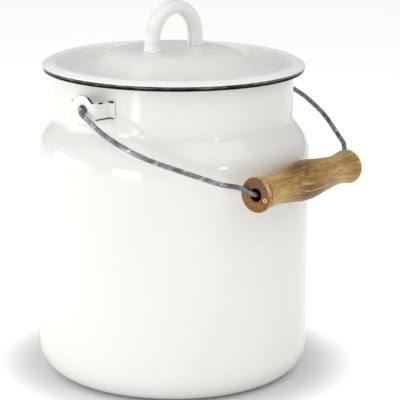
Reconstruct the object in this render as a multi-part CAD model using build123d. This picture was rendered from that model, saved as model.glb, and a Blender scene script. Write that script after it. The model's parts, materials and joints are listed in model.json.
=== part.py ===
from build123d import *
import os
from math import cos, radians, sin

# Lidded enamel milk pail with a swinging wire bail, in millimetres.
# The origin is the centre of the flat base and +Z is the pail's axis. The bail hinges
# about a line along X, and the stowed grip hangs on the -Y side.

# Pail: one drawn and enamelled sheet-steel shell, drawn from base to mouth.
WALL = 1.2
BODY_R = 100.0
BASE_CORNER_R = 20.0
SHOULDER_Z = 173.4
SHOULDER_R = 29.0
NECK_R = 87.3
NECK_Z = 189.3
NECK_FILLET_R = 12.3
RIM_Z = 228.4
MOUTH_BEAD_R = 1.6
MOUTH_BEAD_LIFT = 0.2

# Lid: pressed dome inside a trough, and a flange that caps the mouth bead and turns down
# and in at its edge. Heights are measured from RIM_Z.
LID_WALL = 1.1
LID_CROWN_Z = 11.7
LID_CROWN_R = 12.0
LID_CROWN_FILLET_R = 1200.0
LID_PLATEAU_R = 46.0
LID_PLATEAU_Z = 11.2
LID_SHOULDER_R = 28.0
LID_TROUGH_Z = -8.0
LID_TROUGH_IN_R = 69.5
LID_TROUGH_OUT_R = 77.9
LID_TROUGH_FILLET_R = 4.5
LID_CREST_IN_R = 86.1
LID_CREST_OUT_R = 91.0
LID_CREST_Z = 3.4
LID_CREST_FALL = 0.3
LID_CREST_FILLET_R = 3.2
LID_BROW_R = 96.3
LID_BROW_Z = 0.6
LID_BROW_FILLET_R = 1.6
LID_EDGE_R = 94.6
LID_EDGE_Z = -3.5
LID_TURN = -3.5

# Lid handle: a strip rolled into a tube with its seam open on the inner side, bent
# into an inverted U.
HANDLE_WIDTH = 11.0
HANDLE_DEPTH = 9.4
HANDLE_CORNER_R = 4.0
HANDLE_WALL = 1.2
HANDLE_SEAM = 1.4
HANDLE_OUTER_R = 28.0
HANDLE_TOP_Z = 46.4

# Ears: hat-shaped straps welded to the neck, each with a round eye plate.
EAR_REACH = 100.9
EAR_WALL = 1.4
EAR_DISC_R = 10.8
EAR_HOLE_R = 4.1
EAR_HOLE_Z = RIM_Z - 19.4
EAR_STRAP_HEIGHT = 12.4
EAR_HALF_WIDTH = 11.4
EAR_SPLAY = 2.6
EAR_FOLD_R = 2.2
EAR_FOOT_LENGTH = 4.6
EAR_ROOT_DEPTH = 3.0

# Bail: hand-bent galvanised wire, hooked through the ears from outside. The corners of its
# sides are (x, distance from the hinge line), from the left ear to the grip and on to the right.
WIRE_R = 1.75
HINGE_Z = EAR_HOLE_Z - 1.0
BAIL_REST_ANGLE = 23.5
GRIP_OFFSET = 125.0
HOOK_X = 94.4
HOOK_LENGTH = 8.5
HOOK_BEND_R = 3.2
EAR_BEND_X = 103.6
EAR_BEND_R = 4.0
BAIL_LEFT = [(-110.0, 30), (-104.6, 60), (-71.0, 106.0), (-59.4, 113.2), (-54.8, GRIP_OFFSET)]
BAIL_LEFT_R = [60, 60, 20, 6, 3.2]
BAIL_RIGHT = [(57.6, GRIP_OFFSET), (86.2, 101.4), (109.0, 65), (118.8, 32)]
BAIL_RIGHT_R = [6, 6, 60, 40]

# Grip: one turned wooden handle, bored through for the wire, with a bead and a groove at its
# -X end only. The flank is (x, radius) from beside the groove to the flared +X end.
GRIP_LENGTH = 114.5
GRIP_CENTRE_X = 2.3
GRIP_END_R = 12.5
GRIP_EDGE_R = 1.5
GRIP_BEAD_LENGTH = 3.4
GRIP_FLANK = [
    (-52.9, 11.9),
    (-46, 11.1),
    (-38, 10.6),
    (-20, 12.2),
    (0, 14.2),
    (20, 12.1),
    (38, 10.5),
    (46, 11.0),
]
GRIP_BORE_R = 4.6
GRIP_MOUTH_CHAMFER = 0.8
EYELET_R = 1.6
EYELET_HOLE_R = 0.6
EYELET_LIP = 0.35
EYELET_LENGTH = 7.0
EYELET_OFFSET = 8.4
EYELET_ANGLE = 18.0


def turned_sheet(points, radii, wall, side):
    """A sheet turned about Z. The points (r, z) run along one face, from the axis out."""
    face_line = FilletPolyline(*points, radius=radii)
    section = make_face(offset(face_line, amount=wall, side=side, closed=True))
    return revolve(Plane.XZ * section, Axis.Z)


def along_x(radius, start_x, end_x, y, z):
    """A rod of the given radius along X, between two X positions."""
    middle = Pos((start_x + end_x) / 2, y, z)
    return middle * Rot(0, 90, 0) * Cylinder(radius, abs(end_x - start_x))


def pail_body():
    """Flat base, straight wall, sloping shoulder and straight neck, ending in the mouth bead."""
    mouth_z = RIM_Z + MOUTH_BEAD_LIFT
    outline = [(0, 0), (BODY_R, 0), (BODY_R, SHOULDER_Z), (NECK_R, NECK_Z), (NECK_R, mouth_z)]
    shell = turned_sheet(outline, [BASE_CORNER_R, SHOULDER_R, NECK_FILLET_R], WALL, Side.LEFT)
    bead = Pos(0, 0, mouth_z) * Torus(NECK_R + MOUTH_BEAD_R - WALL, MOUTH_BEAD_R)
    return shell + bead


def lid_shell():
    """Dome, trough, crest and a flange that turns down and in at its edge."""
    outline = [
        (0, LID_CROWN_Z),
        (LID_CROWN_R, LID_CROWN_Z),
        (LID_PLATEAU_R, LID_PLATEAU_Z),
        (LID_TROUGH_IN_R, LID_TROUGH_Z),
        (LID_TROUGH_OUT_R, LID_TROUGH_Z),
        (LID_CREST_IN_R, LID_CREST_Z),
        (LID_CREST_OUT_R, LID_CREST_Z - LID_CREST_FALL),
        (LID_BROW_R, LID_BROW_Z),
        (LID_EDGE_R, LID_EDGE_Z),
    ]
    radii = [
        LID_CROWN_FILLET_R,
        LID_SHOULDER_R,
        LID_TROUGH_FILLET_R,
        LID_TROUGH_FILLET_R,
        LID_CREST_FILLET_R,
        LID_CREST_FILLET_R,
        LID_BROW_FILLET_R,
    ]
    return Pos(0, 0, RIM_Z) * turned_sheet(outline, radii, LID_WALL, Side.RIGHT)


def lid_handle(lid):
    """Open-seam tube swept up one leg, over a half circle and down the other leg."""
    path_r = HANDLE_OUTER_R - HANDLE_DEPTH / 2
    arch_z = HANDLE_TOP_Z - HANDLE_OUTER_R
    foot_z = LID_PLATEAU_Z - LID_WALL / 2
    left_leg = Line((-path_r, 0, foot_z), (-path_r, 0, arch_z))
    arch = ThreePointArc((-path_r, 0, arch_z), (0, 0, arch_z + path_r), (path_r, 0, arch_z))
    right_leg = Line((path_r, 0, arch_z), (path_r, 0, foot_z))
    outer = RectangleRounded(HANDLE_DEPTH, HANDLE_WIDTH, HANDLE_CORNER_R)
    inner = RectangleRounded(
        HANDLE_DEPTH - 2 * HANDLE_WALL,
        HANDLE_WIDTH - 2 * HANDLE_WALL,
        HANDLE_CORNER_R - HANDLE_WALL,
    )
    seam = Pos(HANDLE_DEPTH / 2, 0) * Rectangle(HANDLE_DEPTH, HANDLE_SEAM)
    section = Pos(-path_r, 0, foot_z) * (outer - inner - seam)
    tube = sweep(section, path=left_leg + arch + right_leg)
    return Rot(0, 0, LID_TURN) * Pos(0, 0, RIM_Z) * tube - lid


def ear_plate():
    """The ear on the +X side: eye plate, two splayed legs and two curved feet."""
    leg_end_y = EAR_HALF_WIDTH + EAR_SPLAY
    root_x = NECK_R - EAR_ROOT_DEPTH
    outline = [
        (root_x, -leg_end_y),
        (EAR_REACH, -EAR_HALF_WIDTH),
        (EAR_REACH, EAR_HALF_WIDTH),
        (root_x, leg_end_y),
    ]
    strap_line = FilletPolyline(*outline, radius=EAR_FOLD_R)
    strap_face = make_face(offset(strap_line, amount=EAR_WALL, side=Side.LEFT, closed=True))
    strap = Pos(0, 0, -EAR_STRAP_HEIGHT / 2) * extrude(strap_face, EAR_STRAP_HEIGHT)
    disc = along_x(EAR_DISC_R, EAR_REACH - EAR_WALL, EAR_REACH, 0, 0)
    neck = Cylinder(NECK_R, 4 * EAR_DISC_R)
    foot_ring = Cylinder(NECK_R + EAR_WALL, EAR_STRAP_HEIGHT) - neck
    ear = strap + disc - neck
    for way in (-1, 1):
        foot_y = way * (leg_end_y + EAR_FOOT_LENGTH / 2 - EAR_WALL)
        ear += foot_ring & Pos(NECK_R, foot_y, 0) * Box(10, EAR_FOOT_LENGTH, EAR_STRAP_HEIGHT)
    ear -= along_x(EAR_HOLE_R, EAR_REACH - 5, EAR_REACH + 5, 0, 0)
    return Pos(0, 0, EAR_HOLE_Z) * ear


def bail_point(x, reach):
    """A point in the stowed bail's plane, at a distance from the hinge line."""
    tilt = radians(BAIL_REST_ANGLE)
    return (x, -reach * cos(tilt), HINGE_Z - reach * sin(tilt))


def bail_wire():
    """Hook, eye bend, bowed side, kinked shoulder and the straight run through the grip."""
    hook = [(HOOK_X, -HOOK_LENGTH), (HOOK_X, 0), (EAR_BEND_X, 0)]
    hook_radii = [HOOK_BEND_R, EAR_BEND_R]
    route = [(-x, reach) for x, reach in hook] + BAIL_LEFT + BAIL_RIGHT + hook[::-1]
    radii = hook_radii + BAIL_LEFT_R + BAIL_RIGHT_R + hook_radii[::-1]
    path = FilletPolyline(*[bail_point(x, reach) for x, reach in route], radius=radii)
    section = Plane(path @ 0, z_dir=path % 0) * Circle(WIRE_R)
    return sweep(section, path=path)


def grip_place():
    """The frame of the grip: its centre, with the axis along X."""
    return Pos(*bail_point(GRIP_CENTRE_X, GRIP_OFFSET))


def eyelet_place():
    """Centre of the eyelet on the grip's -X end face."""
    angle = radians(EYELET_ANGLE)
    end_x = -GRIP_LENGTH / 2
    return Pos(end_x, -EYELET_OFFSET * cos(angle), -EYELET_OFFSET * sin(angle))


def wooden_grip():
    """Bellied turning with two waists, a beaded end, a flared end and a through bore."""
    end_x = GRIP_LENGTH / 2
    shoulder_r = GRIP_END_R - GRIP_EDGE_R
    bead_x = GRIP_BEAD_LENGTH - end_x
    outline = Line((-end_x, 0), (-end_x, shoulder_r))
    outline += RadiusArc((-end_x, shoulder_r), (GRIP_EDGE_R - end_x, GRIP_END_R), GRIP_EDGE_R)
    outline += Line((GRIP_EDGE_R - end_x, GRIP_END_R), (bead_x - GRIP_EDGE_R, GRIP_END_R))
    outline += RadiusArc((bead_x - GRIP_EDGE_R, GRIP_END_R), (bead_x, shoulder_r), GRIP_EDGE_R)
    outline += Line((bead_x, shoulder_r), GRIP_FLANK[0])
    outline += Spline(*GRIP_FLANK, (end_x - GRIP_EDGE_R, GRIP_END_R))
    outline += RadiusArc((end_x - GRIP_EDGE_R, GRIP_END_R), (end_x, shoulder_r), GRIP_EDGE_R)
    outline += Line((end_x, shoulder_r), (end_x, 0))
    outline += Line((end_x, 0), (-end_x, 0))
    grip = revolve(make_face(outline), Axis.X)
    grip -= along_x(GRIP_BORE_R, -end_x - 1, end_x + 1, 0, 0)
    mouths = grip.edges().filter_by(GeomType.CIRCLE).filter_by(
        lambda edge: abs(edge.radius - GRIP_BORE_R) < 0.01
    )
    grip = chamfer(mouths, GRIP_MOUTH_CHAMFER)
    grip -= eyelet_place() * along_x(EYELET_R, -1, EYELET_LENGTH, 0, 0)
    return grip_place() * grip


def grip_eyelet():
    """Tubular rivet set in the grip's end grain, with a lip just proud of it."""
    tube = along_x(EYELET_R, -EYELET_LIP, EYELET_LENGTH, 0, 0)
    tube -= along_x(EYELET_HOLE_R, -1, EYELET_LENGTH - 1, 0, 0)
    return grip_place() * eyelet_place() * tube


def main():
    lid = lid_shell()
    ear = ear_plate()
    nodes = {
        "pail_body": pail_body(),
        "ear_left": Rot(0, 0, 180) * ear,
        "ear_right": ear,
        "bail_wire": bail_wire(),
        "wooden_grip": wooden_grip(),
        "grip_eyelet": grip_eyelet(),
        "lid_shell": lid,
        "lid_handle": lid_handle(lid),
    }
    os.makedirs("parts", exist_ok=True)
    for name, shape in nodes.items():
        export_step(shape, f"parts/{name}.step")


main()
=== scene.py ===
import json
from math import asin, atan2, ceil, cos, exp, pi, radians, sin, sqrt, tan

import bpy
from mathutils import Euler, Matrix, Vector, noise


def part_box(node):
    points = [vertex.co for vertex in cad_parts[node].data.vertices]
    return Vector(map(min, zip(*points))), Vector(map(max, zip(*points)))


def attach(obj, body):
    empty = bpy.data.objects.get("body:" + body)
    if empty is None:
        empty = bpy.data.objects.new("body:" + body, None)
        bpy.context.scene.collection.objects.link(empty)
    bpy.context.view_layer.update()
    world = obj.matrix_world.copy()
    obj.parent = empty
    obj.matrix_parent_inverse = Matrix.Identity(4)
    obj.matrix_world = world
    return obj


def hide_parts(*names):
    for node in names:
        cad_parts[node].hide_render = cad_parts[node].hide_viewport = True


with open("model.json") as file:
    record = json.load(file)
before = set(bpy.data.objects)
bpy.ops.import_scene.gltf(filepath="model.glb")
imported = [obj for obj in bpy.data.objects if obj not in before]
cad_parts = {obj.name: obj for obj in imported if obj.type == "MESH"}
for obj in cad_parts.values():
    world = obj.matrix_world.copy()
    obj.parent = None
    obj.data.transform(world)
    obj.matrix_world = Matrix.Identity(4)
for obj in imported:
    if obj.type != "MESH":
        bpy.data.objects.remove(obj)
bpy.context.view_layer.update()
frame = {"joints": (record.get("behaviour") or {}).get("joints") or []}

# Lidded enamel milk pail with a swinging wire bail. Lengths are in metres, in the CAD's frame:
# origin at the centre of the base, +Z up, the bail's hinge line along X and its grip at -Y.

MM = 0.001
UP = Vector((0, 0, 1))
JOINTS = {joint["name"]: joint for joint in frame["joints"]}


# ---------------------------------------------------------------- shared shape helpers

def rounded(points, radii, step=radians(7)):
    """The polyline through the points, with each inner corner turned into an arc."""
    points = [Vector(p) for p in points]
    path = [points[0]]
    for before, corner, after, radius in zip(points, points[1:], points[2:], radii):
        u = (before - corner).normalized()
        v = (after - corner).normalized()
        between = u.angle(v)
        if radius == 0 or between > pi - 1e-4:
            path.append(corner)
            continue
        centre = corner + (u + v).normalized() * radius / sin(between / 2)
        start = corner + u * radius / tan(between / 2) - centre
        end = corner + v * radius / tan(between / 2) - centre
        sweep = pi - between
        count = max(2, ceil(sweep / step))
        for i in range(count + 1):
            turn = sweep * i / count
            path.append(centre + (start * sin(sweep - turn) + end * sin(turn)) / sin(sweep))
    path.append(points[-1])
    return path


def resampled(path, longest):
    """The same path, with no step longer than the given one."""
    out = [path[0]]
    for start, end in zip(path, path[1:]):
        length = (end - start).length
        if length < 1e-9:
            continue
        count = max(1, ceil(length / longest))
        out += [start.lerp(end, i / count) for i in range(1, count + 1)]
    return out


def shifted(path, distance):
    """A 2-D path moved sideways, to its left, by a distance."""
    out = []
    for i, point in enumerate(path):
        before = path[max(i - 1, 0)]
        after = path[min(i + 1, len(path) - 1)]
        along = (after - before).normalized()
        out.append(point + Vector((-along.y, along.x)) * distance)
    return out


def arc(centre, radius, start, end, step=12):
    """Points on an arc in a plane, from one angle to another, in degrees."""
    count = max(2, ceil(abs(end - start) / step))
    angles = [radians(start + (end - start) * i / count) for i in range(count + 1)]
    return [Vector((centre[0] + radius * cos(a), centre[1] + radius * sin(a))) for a in angles]


def new_piece(name, vertices, faces, trim=None):
    """A smooth mesh object. trim is one number per vertex: 1 where the enamel is black."""
    mesh = bpy.data.meshes.new(name)
    mesh.from_pydata([tuple(v) for v in vertices], [], faces)
    mesh.polygons.foreach_set("use_smooth", [True] * len(mesh.polygons))
    attribute = mesh.attributes.new("trim", "FLOAT", "POINT")
    attribute.data.foreach_set("value", trim if trim else [0.0] * len(vertices))
    mesh.update()
    piece = bpy.data.objects.new(name, mesh)
    bpy.context.scene.collection.objects.link(piece)
    return piece


def grid_faces(rows, columns, closed_rows, closed_columns, first=0):
    """Quads over a grid of vertices, stored row by row."""
    faces = []
    for i in range(rows if closed_rows else rows - 1):
        here, there = first + i * columns, first + (i + 1) % rows * columns
        for j in range(columns if closed_columns else columns - 1):
            k = (j + 1) % columns
            faces.append((here + j, here + k, there + k, there + j))
    return faces


def lathe(name, profile, turns=288, waver=0.0, trim=None):
    """A profile of (radius, height) turned about Z, closed where it starts and ends on the axis."""
    on_axis = profile[0].x < 1e-9
    rings = profile[1:-1] if on_axis else profile
    vertices = []
    for r, z in rings:
        for j in range(turns):
            angle = 2 * pi * j / turns
            place = Vector((r * cos(angle), r * sin(angle), z))
            swell = waver * noise.noise(place * 14) if waver else 0.0
            vertices.append(place + Vector((cos(angle), sin(angle), 0)) * swell)
    faces = grid_faces(len(rings), turns, not on_axis, True)
    marks = [trim(r, z) for r, z in rings for _ in range(turns)] if trim else None
    if on_axis:
        last = (len(rings) - 1) * turns
        for end, ring, flip in ((profile[0], 0, True), (profile[-1], last, False)):
            vertices.append(Vector((0, 0, end.y)))
            if marks:
                marks.append(0.0)
            centre = len(vertices) - 1
            for j in range(turns):
                a, b = ring + j, ring + (j + 1) % turns
                faces.append((centre, b, a) if flip else (centre, a, b))
    return new_piece(name, vertices, faces, marks)


def swept(name, path, section, frames, trim=None):
    """A closed section carried along a path, capped at both ends, with two side directions at each point."""
    vertices = []
    for i, point in enumerate(path):
        right, out = frames[i]
        vertices += [point + right * a + out * b for a, b in section(i)]
    columns = len(section(0))
    faces = grid_faces(len(path), columns, False, True)
    faces.append(tuple(reversed(range(columns))))
    faces.append(tuple(range(len(vertices) - columns, len(vertices))))
    return new_piece(name, vertices, faces, trim)


def smooth_frames(path):
    """Side directions along a path that don't twist."""
    frames = []
    right = None
    for i, point in enumerate(path):
        along = (path[min(i + 1, len(path) - 1)] - path[max(i - 1, 0)]).normalized()
        if right is None:
            right = along.orthogonal().normalized()
        right = (right - along * right.dot(along)).normalized()
        frames.append((right, along.cross(right)))
    return frames


def mark_points(piece, name, values):
    """Stores one number per vertex, which the piece's material reads by name."""
    attribute = piece.data.attributes.new(name, "FLOAT", "POINT")
    attribute.data.foreach_set("value", values)


def finish_piece(piece, body, material, node):
    """Gives a piece its material and slot, and makes it stand for its CAD node on a body."""
    piece.data.materials.append(material)
    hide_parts(node)
    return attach(piece, body)


# ---------------------------------------------------------------- materials

class Nodes:
    """A material's node tree, with short calls for the nodes that these materials use."""

    def __init__(self, name):
        self.material = bpy.data.materials.new(name)
        self.material.use_nodes = True
        self.tree = self.material.node_tree
        self.shader = self.tree.nodes["Principled BSDF"]
        self.place = self.tree.nodes.new("ShaderNodeTexCoord").outputs["Object"]

    def link(self, value, socket):
        """Links an output to a socket, or sets a plain value on it."""
        if isinstance(value, bpy.types.NodeSocket):
            self.tree.links.new(value, socket)
        else:
            socket.default_value = value

    def scaled(self, scale, shift=(0, 0, 0)):
        node = self.tree.nodes.new("ShaderNodeMapping")
        self.link(self.place, node.inputs["Vector"])
        node.inputs["Scale"].default_value = scale
        node.inputs["Location"].default_value = shift
        return node.outputs["Vector"]

    def noise(self, scale, detail, roughness=0.5, vector=None, distortion=0.0):
        node = self.tree.nodes.new("ShaderNodeTexNoise")
        self.link(vector or self.place, node.inputs["Vector"])
        node.inputs["Scale"].default_value = scale
        node.inputs["Detail"].default_value = detail
        node.inputs["Roughness"].default_value = roughness
        node.inputs["Distortion"].default_value = distortion
        return node.outputs["Fac"]

    def voronoi(self, scale):
        node = self.tree.nodes.new("ShaderNodeTexVoronoi")
        self.link(self.place, node.inputs["Vector"])
        node.inputs["Scale"].default_value = scale
        return node.outputs["Distance"]

    def math(self, operation, a, b=0.0):
        node = self.tree.nodes.new("ShaderNodeMath")
        node.operation = operation
        self.link(a, node.inputs[0])
        self.link(b, node.inputs[1])
        return node.outputs[0]

    def ramp(self, value, low, high, out_low=0.0, out_high=1.0):
        """value from low..high to out_low..out_high, smoothly and clamped."""
        node = self.tree.nodes.new("ShaderNodeMapRange")
        node.interpolation_type = "SMOOTHSTEP"
        self.link(value, node.inputs["Value"])
        node.inputs["From Min"].default_value = low
        node.inputs["From Max"].default_value = high
        node.inputs["To Min"].default_value = out_low
        node.inputs["To Max"].default_value = out_high
        return node.outputs["Result"]

    def mix(self, factor, a, b):
        node = self.tree.nodes.new("ShaderNodeMix")
        node.data_type = "RGBA"
        self.link(factor, node.inputs["Factor"])
        for socket, value in ((node.inputs[6], a), (node.inputs[7], b)):
            self.link(value if isinstance(value, bpy.types.NodeSocket) else (*value, 1.0), socket)
        return node.outputs[2]

    def attribute(self, name):
        node = self.tree.nodes.new("ShaderNodeAttribute")
        node.attribute_name = name
        return node.outputs["Fac"]

    def axis(self, index):
        node = self.tree.nodes.new("ShaderNodeSeparateXYZ")
        self.link(self.place, node.inputs[0])
        return node.outputs[index]

    def bump(self, height, distance, before=None):
        node = self.tree.nodes.new("ShaderNodeBump")
        self.link(height, node.inputs["Height"])
        node.inputs["Distance"].default_value = distance
        if before:
            self.link(before, node.inputs["Normal"])
        return node.outputs["Normal"]

    def finish(self, color, roughness, normal, **sockets):
        self.link(color, self.shader.inputs["Base Color"])
        self.link(roughness, self.shader.inputs["Roughness"])
        self.link(normal, self.shader.inputs["Normal"])
        for name, value in sockets.items():
            self.shader.inputs[name.replace("_", " ")].default_value = value
        return self.material


WHITE_ENAMEL = (0.805, 0.808, 0.775)
WARM_ENAMEL = (0.795, 0.790, 0.750)
# The handle's white is set lighter than the lid's: painted light, for the extra light that the handle
# catches.
HANDLE_LIT_WHITE = (0.940, 0.932, 0.918)
LID_WHITE, LID_WARM = (0.810, 0.798, 0.775), (0.800, 0.782, 0.752)
# A lighter white for the lid's flange: painted light, where the flange catches more light.
LIT_RIM_WHITE = (0.885, 0.885, 0.878)
BLACK_ENAMEL = (0.004, 0.004, 0.005)
# Grey painted onto the black enamel as its highlight, in streaks.
BLACK_HIGHLIGHT = (0.130, 0.130, 0.132)
EDGE_BLACK, EDGE_PORE = (0.002, 0.002, 0.002), (0.018, 0.018, 0.018)
ZINC_DARK, ZINC_GREY, ZINC_SCRAPED = (0.11, 0.115, 0.13), (0.30, 0.31, 0.34), (0.62, 0.64, 0.68)
COPPER_BRIGHT, COPPER_TARNISHED = (0.95, 0.55, 0.38), (0.55, 0.24, 0.14)


def enamel(name, chip_size, spread, white=WHITE_ENAMEL, warm=WARM_ENAMEL):
    """Glossy white vitreous enamel, black where trim is over a half, by a wavering, broken border; painted
    highlight streaks on the black fade out as trim nears 1.
    """
    n = Nodes(name)
    trim = n.attribute("trim")
    chips = n.noise(1 / chip_size, 3.0, 0.6)
    mark = n.math("ADD", trim, n.math("MULTIPLY", n.math("SUBTRACT", chips, 0.5), spread))
    black = n.ramp(mark, 0.44, 0.56)
    ground = n.mix(n.ramp(n.noise(9, 3.0), 0.35, 0.65), white, warm)
    # Painted light: a lighter white on the lid's flange, from the rim marks outward.
    ground = n.mix(n.attribute("rim"), ground, LIT_RIM_WHITE)
    # Painted highlight: pale grey streaks on the black, full where trim is under 0.85 and none at 1.
    highlight_streaks = n.ramp(n.noise(1.0, 3.0, 0.6, n.scaled((110, 110, 900))), 0.47, 0.60)
    highlit_black = n.ramp(trim, 0.85, 1.0, 1.0, 0.0)
    dark = n.mix(n.math("MULTIPLY", highlight_streaks, highlit_black), BLACK_ENAMEL, BLACK_HIGHLIGHT)
    roughness = n.ramp(n.noise(60, 3.0), 0.3, 0.7, 0.06, 0.13)
    ripple = n.bump(n.noise(24, 1.0), 0.0006)
    peel = n.bump(n.noise(330, 2.0), 0.00002, ripple)
    edge = n.bump(black, 0.00012, peel)
    return n.finish(n.mix(black, ground, dark), roughness, edge, IOR=1.52)


def edge_black(name):
    """The thick black enamel along an edge: matt pores in a low gloss."""
    n = Nodes(name)
    pores = n.noise(700, 3.0, 0.6)
    color = n.mix(n.ramp(pores, 0.58, 0.75), EDGE_BLACK, EDGE_PORE)
    roughness = n.ramp(n.noise(200, 2.0), 0.3, 0.7, 0.22, 0.40)
    return n.finish(color, roughness, n.bump(pores, 0.00004), IOR=1.22)


def galvanised(name):
    """Dull zinc with spangle, pale scrapes and darker hollows."""
    n = Nodes(name)
    spangle = n.voronoi(420)
    cloud = n.noise(130, 4.0, 0.65)
    scrape = n.ramp(n.noise(300, 4.0, 0.7, n.scaled((0.35, 1, 1))), 0.56, 0.68)
    grey = n.mix(n.ramp(cloud, 0.35, 0.68), ZINC_DARK, ZINC_GREY)
    color = n.mix(scrape, grey, ZINC_SCRAPED)
    roughness = n.ramp(spangle, 0.1, 0.7, 0.30, 0.48)
    dents = n.bump(cloud, 0.0004)
    grain = n.bump(n.noise(1400, 2.0), 0.00004, dents)
    return n.finish(color, roughness, grain, Metallic=0.85)


WOOD_LIGHT = (0.770, 0.505, 0.205)
WOOD_TAN = (0.325, 0.156, 0.026)
WOOD_DARK = (0.110, 0.050, 0.010)
END_GRAIN = (0.235, 0.092, 0.028)
END_DARK = (0.100, 0.040, 0.014)
# The colour of a painted highlight on the rim of the grip's end.
WOOD_HIGHLIGHT = (0.780, 0.560, 0.380)
# The inside of the bore, painted dark as shade.
BORE_SHADE = (0.030, 0.016, 0.012)


# Cracks and one pale worn line along the grip: middle, half length, angle round it, color.
WOOD_LINES = [
    (-35 * MM, 15 * MM, radians(135), WOOD_DARK),
    (16 * MM, 9 * MM, radians(127), WOOD_DARK),
    (34 * MM, 14 * MM, radians(150), WOOD_DARK),
    (0, 19 * MM, -radians(164), WOOD_LIGHT),
]


def turned_wood(name, centre):
    """Oiled wood, grain along X: darker belly, stains, cracks, a worn line, end grain; painted shade below,
    in the groove and bore; a painted highlight on the end's rim.
    """
    n = Nodes(name)
    warp = n.noise(30, 2.0, 0.5)
    broad = n.noise(1.0, 2.0, 0.5, n.scaled((22, 60, 60), (0.7, 0.3, 0.1)))
    long_grain = n.noise(1.0, 4.0, 0.6, n.scaled((16, 240, 240)), 0.6)
    fine_grain = n.noise(1.0, 3.0, 0.7, n.scaled((70, 1300, 1300)))
    pores = n.noise(1.0, 2.0, 0.6, n.scaled((190, 2300, 2300)))
    body = n.mix(n.ramp(long_grain, 0.30, 0.70, 0.0, 0.75), WOOD_LIGHT, WOOD_TAN)
    body = n.mix(n.ramp(broad, 0.42, 0.66, 0.0, 0.35), body, WOOD_TAN)
    # Darker towards the middle, and most on the underside, where it is painted shade.
    body = n.mix(n.math("MULTIPLY", n.attribute("belly_tone_and_underside_shade"), 0.85), body, WOOD_TAN)
    body = n.mix(n.ramp(fine_grain, 0.44, 0.74, 0.0, 0.65), body, WOOD_DARK)
    body = n.mix(n.ramp(pores, 0.58, 0.72, 0.0, 0.6), body, WOOD_DARK)
    # Stains, and painted shade under the grip and in its groove, darken the wood in grain patches.
    patches = n.ramp(n.math("ADD", long_grain, fine_grain), 0.72, 0.98)
    body = n.mix(n.math("MULTIPLY", n.attribute("stain_and_shade"), patches), body, WOOD_DARK)
    above = n.math("SUBTRACT", n.axis(2), centre.z)
    behind = n.math("SUBTRACT", n.axis(1), centre.y)
    angle = n.math("ARCTAN2", above, behind)
    waver = n.math("MULTIPLY", n.math("SUBTRACT", n.noise(1.0, 3.0, 0.6, n.scaled((90, 1, 1))), 0.5), 0.22)
    for middle, reach, turn, color in WOOD_LINES:
        off = n.math("SUBTRACT", n.math("ADD", angle, waver), turn)
        along = n.math("ABSOLUTE", n.math("SUBTRACT", n.axis(0), centre.x + middle))
        line = n.ramp(n.math("ABSOLUTE", off), 0.0, 0.045, 1.0, 0.0)
        line = n.math("MULTIPLY", line, n.ramp(along, reach * 0.6, reach, 0.85, 0.0))
        body = n.mix(n.math("MULTIPLY", line, n.ramp(fine_grain, 0.30, 0.50)), body, color)
    rings = n.tree.nodes.new("ShaderNodeTexWave")
    rings.wave_type = "RINGS"
    rings.rings_direction = "X"
    n.link(n.scaled((1, 1, 1), (0, -centre.y + 0.016, -centre.z - 0.010)), rings.inputs["Vector"])
    rings.inputs["Scale"].default_value = 210
    rings.inputs["Distortion"].default_value = 2.6
    rings.inputs["Detail"].default_value = 2
    rings.inputs["Detail Scale"].default_value = 1.5
    end = n.mix(n.ramp(rings.outputs["Fac"], 0.2, 0.9, 0.0, 0.7), END_GRAIN, WOOD_TAN)
    end = n.mix(n.ramp(n.noise(420, 4.0, 0.65), 0.44, 0.66, 0.0, 0.75), end, END_DARK)
    end = n.mix(n.ramp(warp, 0.45, 0.65, 0.0, 0.45), end, END_DARK)
    # Painted highlight along the end face's rim.
    end = n.mix(n.math("MULTIPLY", n.attribute("rim_highlight"), 0.7), end, WOOD_HIGHLIGHT)
    color = n.mix(n.attribute("end_grain"), body, end)
    # Painted shade inside the bore.
    color = n.mix(n.attribute("bore"), color, BORE_SHADE)
    roughness = n.ramp(fine_grain, 0.3, 0.7, 0.32, 0.52)
    hollows = n.bump(n.math("SUBTRACT", long_grain, pores), 0.00008)
    fibres = n.bump(fine_grain, 0.00004, hollows)
    return n.finish(color, roughness, fibres, IOR=1.38)


def copper(name):
    """Copper, tarnished in patches."""
    n = Nodes(name)
    tarnish = n.ramp(n.noise(900, 3.0), 0.4, 0.7)
    color = n.mix(tarnish, COPPER_BRIGHT, COPPER_TARNISHED)
    roughness = n.ramp(tarnish, 0.0, 1.0, 0.24, 0.45)
    return n.finish(color, roughness, n.bump(n.noise(2500, 2.0), 0.00002), Metallic=1.0)


PAPER, PAPER_PALE = (0.81, 0.81, 0.81), (0.83, 0.83, 0.83)
# The floor's own glow, painted light: none within GLOW_STARTS_R of the axis, full from GLOW_FULL_R.
FLOOR_GLOW = 0.46
GLOW_STARTS_R, GLOW_FULL_R = 0.100, 0.150


def glowing_floor_paper(name):
    """Pale paper that glows with painted light, as on a light table, except round the pail, where the glow
    fades out and its shadow falls.
    """
    n = Nodes(name)
    color = n.mix(n.noise(3, 2.0), PAPER, PAPER_PALE)
    node = n.tree.nodes.new("ShaderNodeVectorMath")
    node.operation = "LENGTH"
    n.link(n.place, node.inputs[0])
    glow = n.ramp(node.outputs["Value"], GLOW_STARTS_R, GLOW_FULL_R, 0.0, FLOOR_GLOW)
    n.link(glow, n.shader.inputs["Emission Strength"])
    return n.finish(color, 0.85, n.bump(n.noise(600, 2.0), 0.00002), Emission_Color=(1, 1, 1, 1))


# ---------------------------------------------------------------- pail

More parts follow.
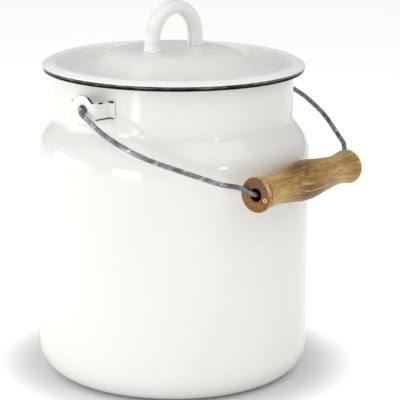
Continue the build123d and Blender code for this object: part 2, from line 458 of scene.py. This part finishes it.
PAIL_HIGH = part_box("pail_body")[1]
BODY_R = PAIL_HIGH.x
WALL = 1.2 * MM
BASE_CORNER_R = 20 * MM
SHOULDER_Z, SHOULDER_R = 173.4 * MM, 29 * MM
NECK_R, NECK_Z, NECK_FILLET_R = 87.3 * MM, 189.3 * MM, 12.3 * MM
MOUTH_BEAD_R = 1.6 * MM
MOUTH_Z = PAIL_HIGH.z - MOUTH_BEAD_R
RIM_Z = MOUTH_Z - 0.2 * MM


def pail_profile():
    """From the middle of the base up the outside, round the mouth bead and down the inside."""
    bead_r = NECK_R + MOUTH_BEAD_R - WALL
    join = asin((NECK_R - bead_r) / MOUTH_BEAD_R)
    neck_top = MOUTH_Z - cos(join) * MOUTH_BEAD_R
    outline = [(0, 0), (BODY_R, 0), (BODY_R, SHOULDER_Z), (NECK_R, NECK_Z), (NECK_R, neck_top)]
    outside = rounded(outline, [BASE_CORNER_R, SHOULDER_R, NECK_FILLET_R])
    bead = arc((bead_r, MOUTH_Z), MOUTH_BEAD_R, -88 + join * 180 / pi, 178)
    inside = [p for p in reversed(shifted(outside, WALL)) if p.x > 0]
    inside[0].y = min(inside[0].y, MOUTH_Z - 0.3 * MM)
    inside[-1].x = 0
    return resampled(outside + bead[1:] + inside, 4 * MM)


def pail_trim(r, z):
    """1 on the mouth bead."""
    return 1.0 if z > MOUTH_Z - MOUTH_BEAD_R * 1.1 else 0.0


def pail_body():
    piece = lathe("pail_shell", pail_profile(), waver=0.12 * MM, trim=pail_trim)
    white = enamel("white_enamel", 9 * MM, 0.5)
    return finish_piece(piece, "pail", white, "pail_body")


# ---------------------------------------------------------------- ears

EAR_LOW, EAR_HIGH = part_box("ear_right")
EAR_REACH = EAR_HIGH.x
EAR_HOLE_Z = (EAR_LOW.z + EAR_HIGH.z) / 2
EAR_WALL = 1.4 * MM
EAR_DISC_R, EAR_HOLE_R = 10.8 * MM, 4.1 * MM
EAR_HALF_HEIGHT = 6.2 * MM
EAR_HALF_WIDTH, EAR_SPLAY = 11.4 * MM, 2.2 * MM
EAR_FOOT_Y = EAR_HIGH.y
EAR_LAYERS = 34
LOWER_CREEP, UPPER_CREEP = 5, 3


def ear_course():
    """The middle of the ear's sheet seen from above, as (y, x), from its centre out to a foot."""
    half = EAR_WALL / 2
    face_x = EAR_REACH - half
    knee = Vector((EAR_HALF_WIDTH - half, face_x))
    foot_r = NECK_R + half
    leg_y = EAR_HALF_WIDTH + EAR_SPLAY - half
    heel = Vector((leg_y, sqrt(foot_r ** 2 - leg_y ** 2)))
    toe = Vector((EAR_FOOT_Y, sqrt(foot_r ** 2 - EAR_FOOT_Y ** 2)))
    return resampled(rounded([Vector((0, face_x)), knee, heel, toe], [1.6 * MM, 1.3 * MM]), 0.3 * MM)


def ear_outline(reach):
    """The flat ear's outline as (along, height), clockwise: a disc with a strap each way."""
    inset = EAR_WALL / 2
    disc_r, half_height, end = EAR_DISC_R - inset, EAR_HALF_HEIGHT - inset, reach - inset
    meet = asin(half_height / disc_r) * 180 / pi
    quarter = arc((0, 0), disc_r, 90, meet + 4, 2)
    strap_start = Vector((disc_r * cos(radians(meet - 5)), half_height))
    strap = [strap_start, Vector((end, half_height)), Vector((end, 0))]
    quarter += rounded(strap, [0.9 * MM])
    quarter = resampled(quarter, 0.45 * MM)
    lower = [Vector((p.x, -p.y)) for p in reversed(quarter[:-1])]
    right = quarter + lower
    left = [Vector((-p.x, p.y)) for p in reversed(right[1:-1])]
    return right + left


def ear(name, body_side, node):
    """One pressed ear: eye plate, two legs and two feet, with round enamelled edges all round."""
    course = ear_course()
    lengths = [0.0]
    for a, b in zip(course, course[1:]):
        lengths.append(lengths[-1] + (b - a).length)
    outline = ear_outline(lengths[-1])
    half = EAR_WALL / 2

    def bent(along, height, depth):
        """A point of the flat ear, folded to shape. depth is out from the middle of the sheet."""
        side = 1 if along >= 0 else -1
        s = min(abs(along), lengths[-1] - 1e-7)
        i = next(k for k in range(len(lengths) - 1) if lengths[k + 1] >= s)
        share = (s - lengths[i]) / (lengths[i + 1] - lengths[i])
        before = course[max(i - 1, 0)]
        after = course[min(i + 2, len(course) - 1)]
        way = (after - before).normalized() if s > 0.3 * MM else Vector((1, 0))
        place = course[i].lerp(course[i + 1], share) + Vector((-way.y, way.x)) * depth
        return Vector((place.y * body_side, place.x * side * body_side, EAR_HOLE_Z + height))

    count = len(outline)
    eye_r = EAR_HOLE_R + half
    vertices, trim = [], []

    def add_ring(points, depth, mark):
        for p in points:
            vertices.append(bent(p.x, p.y, depth))
            trim.append(mark(p))

    def layer(i):
        """The outline drawn in towards the eye: 0 is the eye's own edge, and EAR_LAYERS is the outline."""
        eye = [p.normalized() * eye_r for p in outline]
        return [e.lerp(p, i / EAR_LAYERS) for e, p in zip(eye, outline)]

    def outward(i):
        way = outline[(i + 1) % count] - outline[i - 1]
        return Vector((-way.y, way.x)).normalized()

    normals = [outward(i) for i in range(count)]
    steps = 6

    def edge_mark(p):
        """Where an edge is black: the legs' lower edges, the ends of their upper ones, parts of the disc."""
        along = abs(p.x)
        past_knee = along - EAR_HALF_WIDTH
        to_end = lengths[-1] - along
        if to_end < 0.9 * MM:
            return 0.0
        if past_knee > -0.6 * MM:
            near_knee = 1.6 * MM < past_knee < 5.5 * MM
            return 1.0 if p.y < 0 or near_knee or to_end < 5.5 * MM else 0.25
        if p.y < 0:
            return 0.44
        return 1.0 if EAR_DISC_R * 0.42 < p.x < EAR_DISC_R * 0.82 else 0.54

    def face_mark(p, rows_in):
        """The black that has crept from an edge onto the face beside it, a few rows in."""
        on_end = abs(p.x) > EAR_HALF_WIDTH and abs(p.y) < EAR_HALF_HEIGHT - 1.3 * MM
        crept = rows_in < (LOWER_CREEP if p.y < 0 else UPPER_CREEP)
        return 1.0 if crept and not on_end and edge_mark(p) == 1.0 else 0.0

    for i in range(EAR_LAYERS + 1):
        add_ring(layer(i), half, lambda p: face_mark(p, EAR_LAYERS - i))
    for k in range(1, steps):
        a = pi * k / steps
        ring = [p + q * half * sin(a) for p, q in zip(outline, normals)]
        add_ring(ring, half * cos(a), edge_mark)
    for i in range(EAR_LAYERS, -1, -1):
        add_ring(layer(i), -half, lambda p: 0.0)
    for k in range(1, steps):
        a = pi * k / steps
        ring = [p.normalized() * (eye_r - half * sin(a)) for p in outline]
        add_ring(ring, -half * cos(a), lambda p: 0.15)
    rows = len(vertices) // count
    piece = new_piece(name, vertices, grid_faces(rows, count, True, True), trim)
    white = enamel(name + "_enamel", 3.2 * MM, 1.1)
    return finish_piece(piece, "pail", white, node)


# ---------------------------------------------------------------- lid

LID_WALL = 1.1 * MM

# The outside's corners, as millimetres from the axis and above the rim, and each inner one's fillet.
LID_CORNERS = [
    (0, 11.7), (12, 11.7), (46, 11.2), (69.5, -8.0), (77.9, -8.0),
    (86.1, 3.4), (91.0, 3.1), (96.3, 0.6), (94.6, -3.5),
]
LID_FILLETS = [1200, 28, 4.5, 4.5, 3.2, 3.2, 1.6]

# The black border, in millimetres below the rim: where it starts, its upper part with painted highlight
# streaks, and where it is thick.
SKIRT_R = 92.5 * MM
BLACK_FROM = -0.3
HIGHLIT_BLACK, THICK_BLACK = 1.9, 2.0
# The radius in millimetres from which the flange's enamel is painted lighter, as painted light.
LIT_RIM_FROM = 85


def lid_profile():
    """Over the dome, trough, crest and brow, down and in to the edge, and back underneath."""
    outline = [Vector((r * MM, RIM_Z + z * MM)) for r, z in LID_CORNERS]
    outside = rounded(outline, [r * MM for r in LID_FILLETS], radians(5))
    inside = list(reversed(shifted(outside, -LID_WALL)))
    half = LID_WALL / 2
    down = (outside[-1] - outside[-2]).normalized()
    middle = (outside[-1] + inside[0]) / 2 - down * half
    start = atan2(-down.x, down.y)
    edge = [middle + Vector((cos(start - pi * k / 6), sin(start - pi * k / 6))) * half for k in range(7)]
    outside[-1] = edge[0]
    inside[0] = edge[-1]
    inside[-1].x = 0
    return resampled(outside + edge[1:-1] + inside, 3 * MM)


def lid_trim(r, z):
    """1 on the lower part of the skirt, less on its brow, where the black gets painted highlight streaks."""
    depth = (RIM_Z - z) / MM
    if r < SKIRT_R or depth < BLACK_FROM:
        return 0.0
    return 0.84 if depth < BLACK_FROM + HIGHLIT_BLACK else 1.0


def lid_shell():
    """The pressed lid, in white enamel with a thick black border along its edge."""
    piece = lathe("lid_pressing", lid_profile(), waver=0.1 * MM, trim=lid_trim)
    # Marks the flange, out from that radius, for its painted light.
    past = [Vector(v.co[:2]).length / MM - LIT_RIM_FROM for v in piece.data.vertices]
    mark_points(piece, "rim", [min(1, max(0, distance)) for distance in past])
    white = enamel("lid_enamel", 5 * MM, 0.4, LID_WHITE, LID_WARM)
    piece.data.materials.append(white)
    piece.data.materials.append(edge_black("edge_black"))
    for face in piece.data.polygons:
        depth = (RIM_Z - face.center.z) / MM - BLACK_FROM
        on_skirt = Vector(face.center[:2]).length > SKIRT_R
        face.material_index = 1 if depth > THICK_BLACK and on_skirt else 0
    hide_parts("lid_shell")
    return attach(piece, "lid")


# ---------------------------------------------------------------- lid handle

HANDLE_LOW, HANDLE_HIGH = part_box("lid_handle")
HANDLE_DEPTH, HANDLE_WIDTH = 9.4 * MM, 11 * MM
HANDLE_OUTER_R = 28 * MM
HANDLE_WALL, HANDLE_SEAM, HANDLE_CORNER_R = 1.2 * MM, 1.4 * MM, 4.0 * MM
LID_TURN = radians(-3.5)


def handle_section():
    """The open tube's section as (outward, sideways), its seam facing inward."""
    def ring(inset):
        a, b = HANDLE_DEPTH / 2 - inset, HANDLE_WIDTH / 2 - inset
        lip = HANDLE_SEAM / 2
        corners = [(-a, lip), (-a, b), (a, b), (a, -b), (-a, -b), (-a, -lip)]
        return rounded(corners, [HANDLE_CORNER_R - inset] * 4, radians(11))
    outer, inner = ring(0), ring(HANDLE_WALL)
    lip_r = HANDLE_WALL / 2
    middle = -HANDLE_DEPTH / 2 + lip_r
    lip = arc((middle, -HANDLE_SEAM / 2), lip_r, 180, 0, 30)[1:-1]
    other = arc((middle, HANDLE_SEAM / 2), lip_r, 0, -180, 30)[1:-1]
    return resampled(outer, 1.2 * MM), lip, resampled(list(reversed(inner)), 1.2 * MM), other


def lid_handle():
    """An open-seam tube bent to an inverted U, its feet running out into the dome."""
    path_r = HANDLE_OUTER_R - HANDLE_DEPTH / 2
    arch_z = HANDLE_HIGH.z - HANDLE_OUTER_R
    foot_z = HANDLE_LOW.z
    path = resampled([Vector((-path_r, 0, foot_z)), Vector((-path_r, 0, arch_z))], 0.8 * MM)
    path += [Vector((p.x, 0, p.y)) for p in arc((0, arch_z), path_r, 177, 3, 3)]
    path += resampled([Vector((path_r, 0, arch_z)), Vector((path_r, 0, foot_z))], 0.8 * MM)
    outer, lip, inner, other = handle_section()
    loop = outer + lip + inner + other
    flared = len(outer)

    def section(i):
        above = path[i].z - foot_z - 0.6 * MM
        flare = 0.24 * exp(-max(above, 0) / (1.0 * MM))
        return [p * (1 + flare) if k < flared else p for k, p in enumerate(loop)]

    frames = []
    for p in path:
        out = Vector((p.x, 0, max(p.z - arch_z, 0))).normalized()
        frames.append((out, Vector((0, 1, 0))))
    marks = [0.30 if flared - 2 <= k or k < 2 else 0.0 for _ in path for k in range(len(loop))]
    piece = swept("lid_tube_handle", path, section, frames, marks)
    piece.data.transform(Matrix.Rotation(LID_TURN, 4, "Z"))
    # Painted light: the handle's enamel is lighter than the lid's.
    white = enamel("handle_enamel", 4 * MM, 0.5, HANDLE_LIT_WHITE, LID_WHITE)
    return finish_piece(piece, "lid", white, "lid_handle")


# ---------------------------------------------------------------- bail

HINGE = Vector(JOINTS["bail_swing"]["pos_m"])
GRIP_CENTRE = Vector(JOINTS["grip_spin"]["pos_m"])
STOWED = Vector((0, GRIP_CENTRE.y - HINGE.y, GRIP_CENTRE.z - HINGE.z))
WIRE_R = 1.75 * MM


def bail_point(x, reach):
    """A point in the stowed bail's plane, given in millimetres from the hinge line."""
    return HINGE + Vector((x * MM, 0, 0)) + STOWED.normalized() * reach * MM


def bail_wire():
    """Hook, eye bend, bowed side, kinked shoulder and the straight run through the grip."""
    grip_reach = STOWED.length / MM
    hook = [(94.4, -8.5), (94.4, 0), (103.6, 0)]
    left = [(-110.0, 30), (-104.6, 60), (-71.0, 106.0), (-59.4, 113.2), (-54.8, grip_reach)]
    right = [(57.6, grip_reach), (86.2, 101.4), (109.0, 65), (118.8, 32)]
    route = [(-x, reach) for x, reach in hook] + left + right + hook[::-1]
    radii = [3.2, 4.0, 60, 60, 20, 6, 3.2, 6, 6, 60, 40, 4.0, 3.2]
    path = rounded([bail_point(x, reach) for x, reach in route], [r * MM for r in radii], radians(9))
    path = resampled(path, 1.2 * MM)
    frames = smooth_frames(path)
    around = [2 * pi * j / 20 for j in range(20)]
    ends = [0.45, 0.8, 0.95]

    def section(i):
        worn = 1 + 0.035 * noise.noise(path[i] * 160)
        end = min(i, len(path) - 1 - i)
        size = WIRE_R * worn * (ends[end] if end < len(ends) else 1)
        return [(size * cos(a), size * sin(a)) for a in around]

    piece = swept("bail", path, section, frames)
    return finish_piece(piece, "bail", galvanised("galvanised_wire"), "bail_wire")


# ---------------------------------------------------------------- grip

GRIP_LOW, GRIP_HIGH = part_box("wooden_grip")
GRIP_HALF = (GRIP_HIGH.x - GRIP_LOW.x) / 2
GRIP_END_R, GRIP_BORE_R = 12.5 * MM, 4.6 * MM
GRIP_BEAD, GRIP_EDGE_R = 3.4 * MM, 1.5 * MM
STAIN_X, STAIN_LENGTH = -12 * MM, 15 * MM
STAIN_ANGLE, STAIN_WIDTH = radians(122), radians(40)
# Painted shade on the grip's underside, strongest near its middle.
UNDER_SHADE, UNDER_SHADE_X, UNDER_SHADE_LENGTH = 0.9, -8 * MM, 20 * MM
FAR_STAIN, FAR_STAIN_X, FAR_STAIN_LENGTH = 0.45, 49 * MM, 9 * MM
# Painted shade in the groove behind the bead.
GROOVE_SHADE = 0.9
# A painted highlight on the rim of the -X end: its angle round the grip and its spread.
RIM_HIGHLIGHT_ANGLE, RIM_HIGHLIGHT_WIDTH = radians(150), radians(24)
BELLY_LENGTH = 26 * MM
GROOVE_R = 10.7 * MM

# The flank, as millimetres along the grip from its middle and from its axis.
GRIP_STATIONS = [
    (-52.9, 11.9), (-46, 11.1), (-38, 10.6), (-20, 12.2), (0, 14.2),
    (20, 12.1), (38, 10.5), (46, 11.0), (55.75, 12.5),
]


def flank_radius(x):
    """The flank's radius at x, both in millimetres: a smooth curve through its stations."""
    points = GRIP_STATIONS
    i = max(k for k in range(len(points) - 1) if points[k][0] <= x or k == 0)
    (x0, r0), (x1, r1) = points[i], points[i + 1]

    def slope(k):
        a, b = points[max(k - 1, 0)], points[min(k + 1, len(points) - 1)]
        return (b[1] - a[1]) / (b[0] - a[0])

    t = (x - x0) / (x1 - x0)
    bend = (2 * t ** 3 - 3 * t ** 2 + 1) * r0 + (3 * t ** 2 - 2 * t ** 3) * r1
    return bend + (x1 - x0) * ((t ** 3 - 2 * t ** 2 + t) * slope(i) + (t ** 3 - t ** 2) * slope(i + 1))


def grip_profile():
    """The grip as (x, radius): from the -X mouth over the bead and the flank to the other, and back."""
    groove_x = GRIP_BEAD - GRIP_HALF
    flank_start = GRIP_STATIONS[0][0]
    depth, mouth = 3 * MM, 0.8 * MM
    bead = rounded([
        Vector((depth - GRIP_HALF, GRIP_BORE_R)),
        Vector((-GRIP_HALF, GRIP_BORE_R)),
        Vector((-GRIP_HALF, GRIP_END_R)),
        Vector((groove_x - 0.2 * MM, GRIP_END_R)),
        Vector((groove_x, GROOVE_R)),
        Vector((groove_x + 0.5 * MM, GROOVE_R)),
        Vector((groove_x + 0.9 * MM, flank_radius(flank_start) * MM)),
    ], [mouth, GRIP_EDGE_R, 1.1 * MM, 0.1 * MM, 0.1 * MM], radians(12))
    first = ceil(flank_start)
    last = int((GRIP_HALF - GRIP_EDGE_R) / MM)
    flank = [Vector((x * MM, flank_radius(x) * MM)) for x in range(first, last + 1)]
    far = rounded([
        flank[-1],
        Vector((GRIP_HALF, GRIP_END_R)),
        Vector((GRIP_HALF, GRIP_BORE_R)),
        Vector((GRIP_HALF - depth, GRIP_BORE_R)),
    ], [GRIP_EDGE_R, mouth], radians(12))
    bore = [Vector((x * GRIP_HALF, GRIP_BORE_R)) for x in (0.6, 0.3, 0.0, -0.3, -0.6)]
    return resampled(bead + flank[:-1] + far, 0.9 * MM) + bore


def wooden_grip():
    """One turning, bored through, and marked where it shows end grain, stains, painted shade, a painted rim
    highlight and its bore, which is painted dark as shade.
    """
    turns = 96
    vertices = []
    marks = {"end_grain": [], "bore": [], "stain_and_shade": [], "belly_tone_and_underside_shade": [], "rim_highlight": []}
    for x, r in grip_profile():
        in_bore = r < GRIP_BORE_R * 1.02 and abs(x) < GRIP_HALF - 0.9 * MM
        on_end = abs(x) > GRIP_HALF - 0.6 * MM or r < GRIP_BORE_R * 1.2
        in_groove = -0.3 * MM < x - (GRIP_BEAD - GRIP_HALF) < 0.8 * MM
        on_rim = x < -GRIP_HALF + 0.7 * MM and r > GRIP_END_R - 1.3 * MM
        for j in range(turns):
            angle = 2 * pi * j / turns
            spoke = Vector((0, cos(angle), sin(angle)))
            tooled = 0.10 * MM * noise.noise(Vector((x * 30, cos(angle), sin(angle))))
            vertices.append(GRIP_CENTRE + Vector((x, 0, 0)) + spoke * (r + tooled))
            around = (angle - STAIN_ANGLE + pi) % (2 * pi) - pi
            # The angle from the centre of the painted rim highlight.
            worn = (angle - RIM_HIGHLIGHT_ANGLE + pi) % (2 * pi) - pi
            marks["end_grain"].append(1.0 if on_end else 0.0)
            marks["bore"].append(1.0 if in_bore else 0.0)
            stain_and_shade = exp(-((x - STAIN_X) / STAIN_LENGTH) ** 2 - (around / STAIN_WIDTH) ** 2)
            # Painted shade on the underside, carried with the stains.
            if pi * 0.97 < angle < pi * 1.5:
                stain_and_shade = max(stain_and_shade, UNDER_SHADE * exp(-((x - UNDER_SHADE_X) / UNDER_SHADE_LENGTH) ** 2))
            stain_and_shade = max(stain_and_shade, FAR_STAIN * exp(-((x - FAR_STAIN_X) / FAR_STAIN_LENGTH) ** 2))
            # In the groove, painted shade takes the place of the stains.
            marks["stain_and_shade"].append(GROOVE_SHADE if in_groove else stain_and_shade)
            # Darker towards the middle, fully on the lower quarter, as painted shade.
            under = 1.0 if pi < angle < 1.5 * pi else 0.75
            marks["belly_tone_and_underside_shade"].append(under * exp(-(x / BELLY_LENGTH) ** 2))
            # Painted highlight on the end's rim.
            marks["rim_highlight"].append(exp(-(worn / RIM_HIGHLIGHT_WIDTH) ** 2) if on_rim else 0.0)
    piece = new_piece("turned_grip", vertices, grid_faces(len(vertices) // turns, turns, True, True))
    for name, values in marks.items():
        mark_points(piece, name, values)
    wood = turned_wood("turned_wood", GRIP_CENTRE)
    return finish_piece(piece, "grip", wood, "wooden_grip")


def grip_eyelet():
    """A rolled copper lip round a small dark hole, set in the end grain."""
    low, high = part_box("grip_eyelet")
    centre = (low + high) / 2
    lip_r = (high.y - low.y) / 2
    hole_r = 0.62 * MM
    middle, tube_r = (lip_r + hole_r) / 2, (lip_r - hole_r) / 2
    lip_x = low.x + tube_r
    loop = [(lip_x + tube_r * -sin(radians(a)), middle + tube_r * cos(radians(a))) for a in range(0, 181, 20)]
    loop += [(high.x - 2 * MM, hole_r), (high.x - 2 * MM, 0.35 * MM), (high.x, 0.35 * MM), (high.x, lip_r)]
    turns = 40
    vertices = []
    for x, r in loop:
        for j in range(turns):
            angle = 2 * pi * j / turns
            vertices.append(Vector((x, centre.y + r * cos(angle), centre.z + r * sin(angle))))
    piece = new_piece("copper_eyelet", vertices, grid_faces(len(loop), turns, True, True))
    return finish_piece(piece, "grip", copper("copper"), "grip_eyelet")


# ---------------------------------------------------------------- studio

CAMERA_PLACE = Vector((-1.0146, -0.8070, 0.4522))
CAMERA_HEADING = radians(37.624)
CAMERA_PITCH = 0.24647
CAMERA_ROLL = 0.00684
CAMERA_LENS, SENSOR_WIDTH = 162, 36
TOWARDS_CAMERA = -Vector((cos(CAMERA_HEADING), sin(CAMERA_HEADING), 0))
AIM = Vector((0, 0, 0.17))
WORLD_STRENGTH = 0.545
FLOOR_HALF = 8.0


def camera():
    """A long lens at the place and heading that the photograph was taken from."""
    data = bpy.data.cameras.new("camera")
    data.lens, data.sensor_width = CAMERA_LENS, SENSOR_WIDTH
    data.clip_start, data.clip_end = 0.05, 50
    item = bpy.data.objects.new("camera", data)
    bpy.context.scene.collection.objects.link(item)
    turn = Euler((pi / 2 - CAMERA_PITCH, 0, CAMERA_HEADING - pi / 2)).to_matrix()
    turn = turn @ Matrix.Rotation(CAMERA_ROLL, 3, "Z")
    item.matrix_world = Matrix.Translation(CAMERA_PLACE) @ turn.to_4x4()
    bpy.context.scene.camera = item


def softbox(name, left, elevation, distance, size, power, color=(1, 1, 1)):
    """An area light, at an angle to the left of the camera and an elevation, both from the shoulder."""
    way = Matrix.Rotation(-radians(left), 3, "Z") @ TOWARDS_CAMERA
    way = way * cos(radians(elevation)) + UP * sin(radians(elevation))
    data = bpy.data.lights.new(name, "AREA")
    data.shape = "RECTANGLE"
    data.size, data.size_y = size
    data.energy = power
    data.color = color
    item = bpy.data.objects.new(name, data)
    bpy.context.scene.collection.objects.link(item)
    item.location = AIM + way * distance
    item.rotation_mode = "QUATERNION"
    item.rotation_quaternion = (-way).to_track_quat("-Z", "Y")
    item.visible_camera = False


def studio():
    """A white world, six area lights and the floor."""
    world = bpy.data.worlds.new("studio")
    world.use_nodes = True
    background = world.node_tree.nodes["Background"]
    background.inputs["Color"].default_value = (1, 1, 1, 1)
    background.inputs["Strength"].default_value = WORLD_STRENGTH
    bpy.context.scene.world = world
    bpy.context.scene.view_settings.view_transform = "Standard"
    softbox("window", 37, 4.5, 1.5, (0.62, 0.43), 3.8, (0.97, 0.98, 1.0))
    softbox("side_fill", 92, 5, 1.5, (1.2, 0.42), 3.0, (0.97, 0.98, 1.0))
    softbox("lamp_right", -42, 18, 1.4, (0.14, 0.12), 0.6)
    softbox("low_strip", 32, -5.9, 0.55, (0.06, 0.026), 0.018)
    softbox("top_right", -50, 54, 1.4, (1.1, 1.1), 5.0, (1.0, 0.99, 0.97))
    softbox("top_left", 75, 54, 1.4, (1.1, 1.1), 4.2, (0.98, 0.99, 1.0))
    signs = [(-1, -1), (1, -1), (1, 1), (-1, 1)]
    corners = [Vector((x * FLOOR_HALF, y * FLOOR_HALF, 0)) for x, y in signs]
    floor = new_piece("floor", corners, [(0, 1, 2, 3)])
    floor.data.materials.append(glowing_floor_paper("glowing_floor_paper"))


camera()
studio()
pail_body()
ear("ear_strap_right", 1, "ear_right")
ear("ear_strap_left", -1, "ear_left")
lid_shell()
lid_handle()
bail_wire()
wooden_grip()
grip_eyelet()
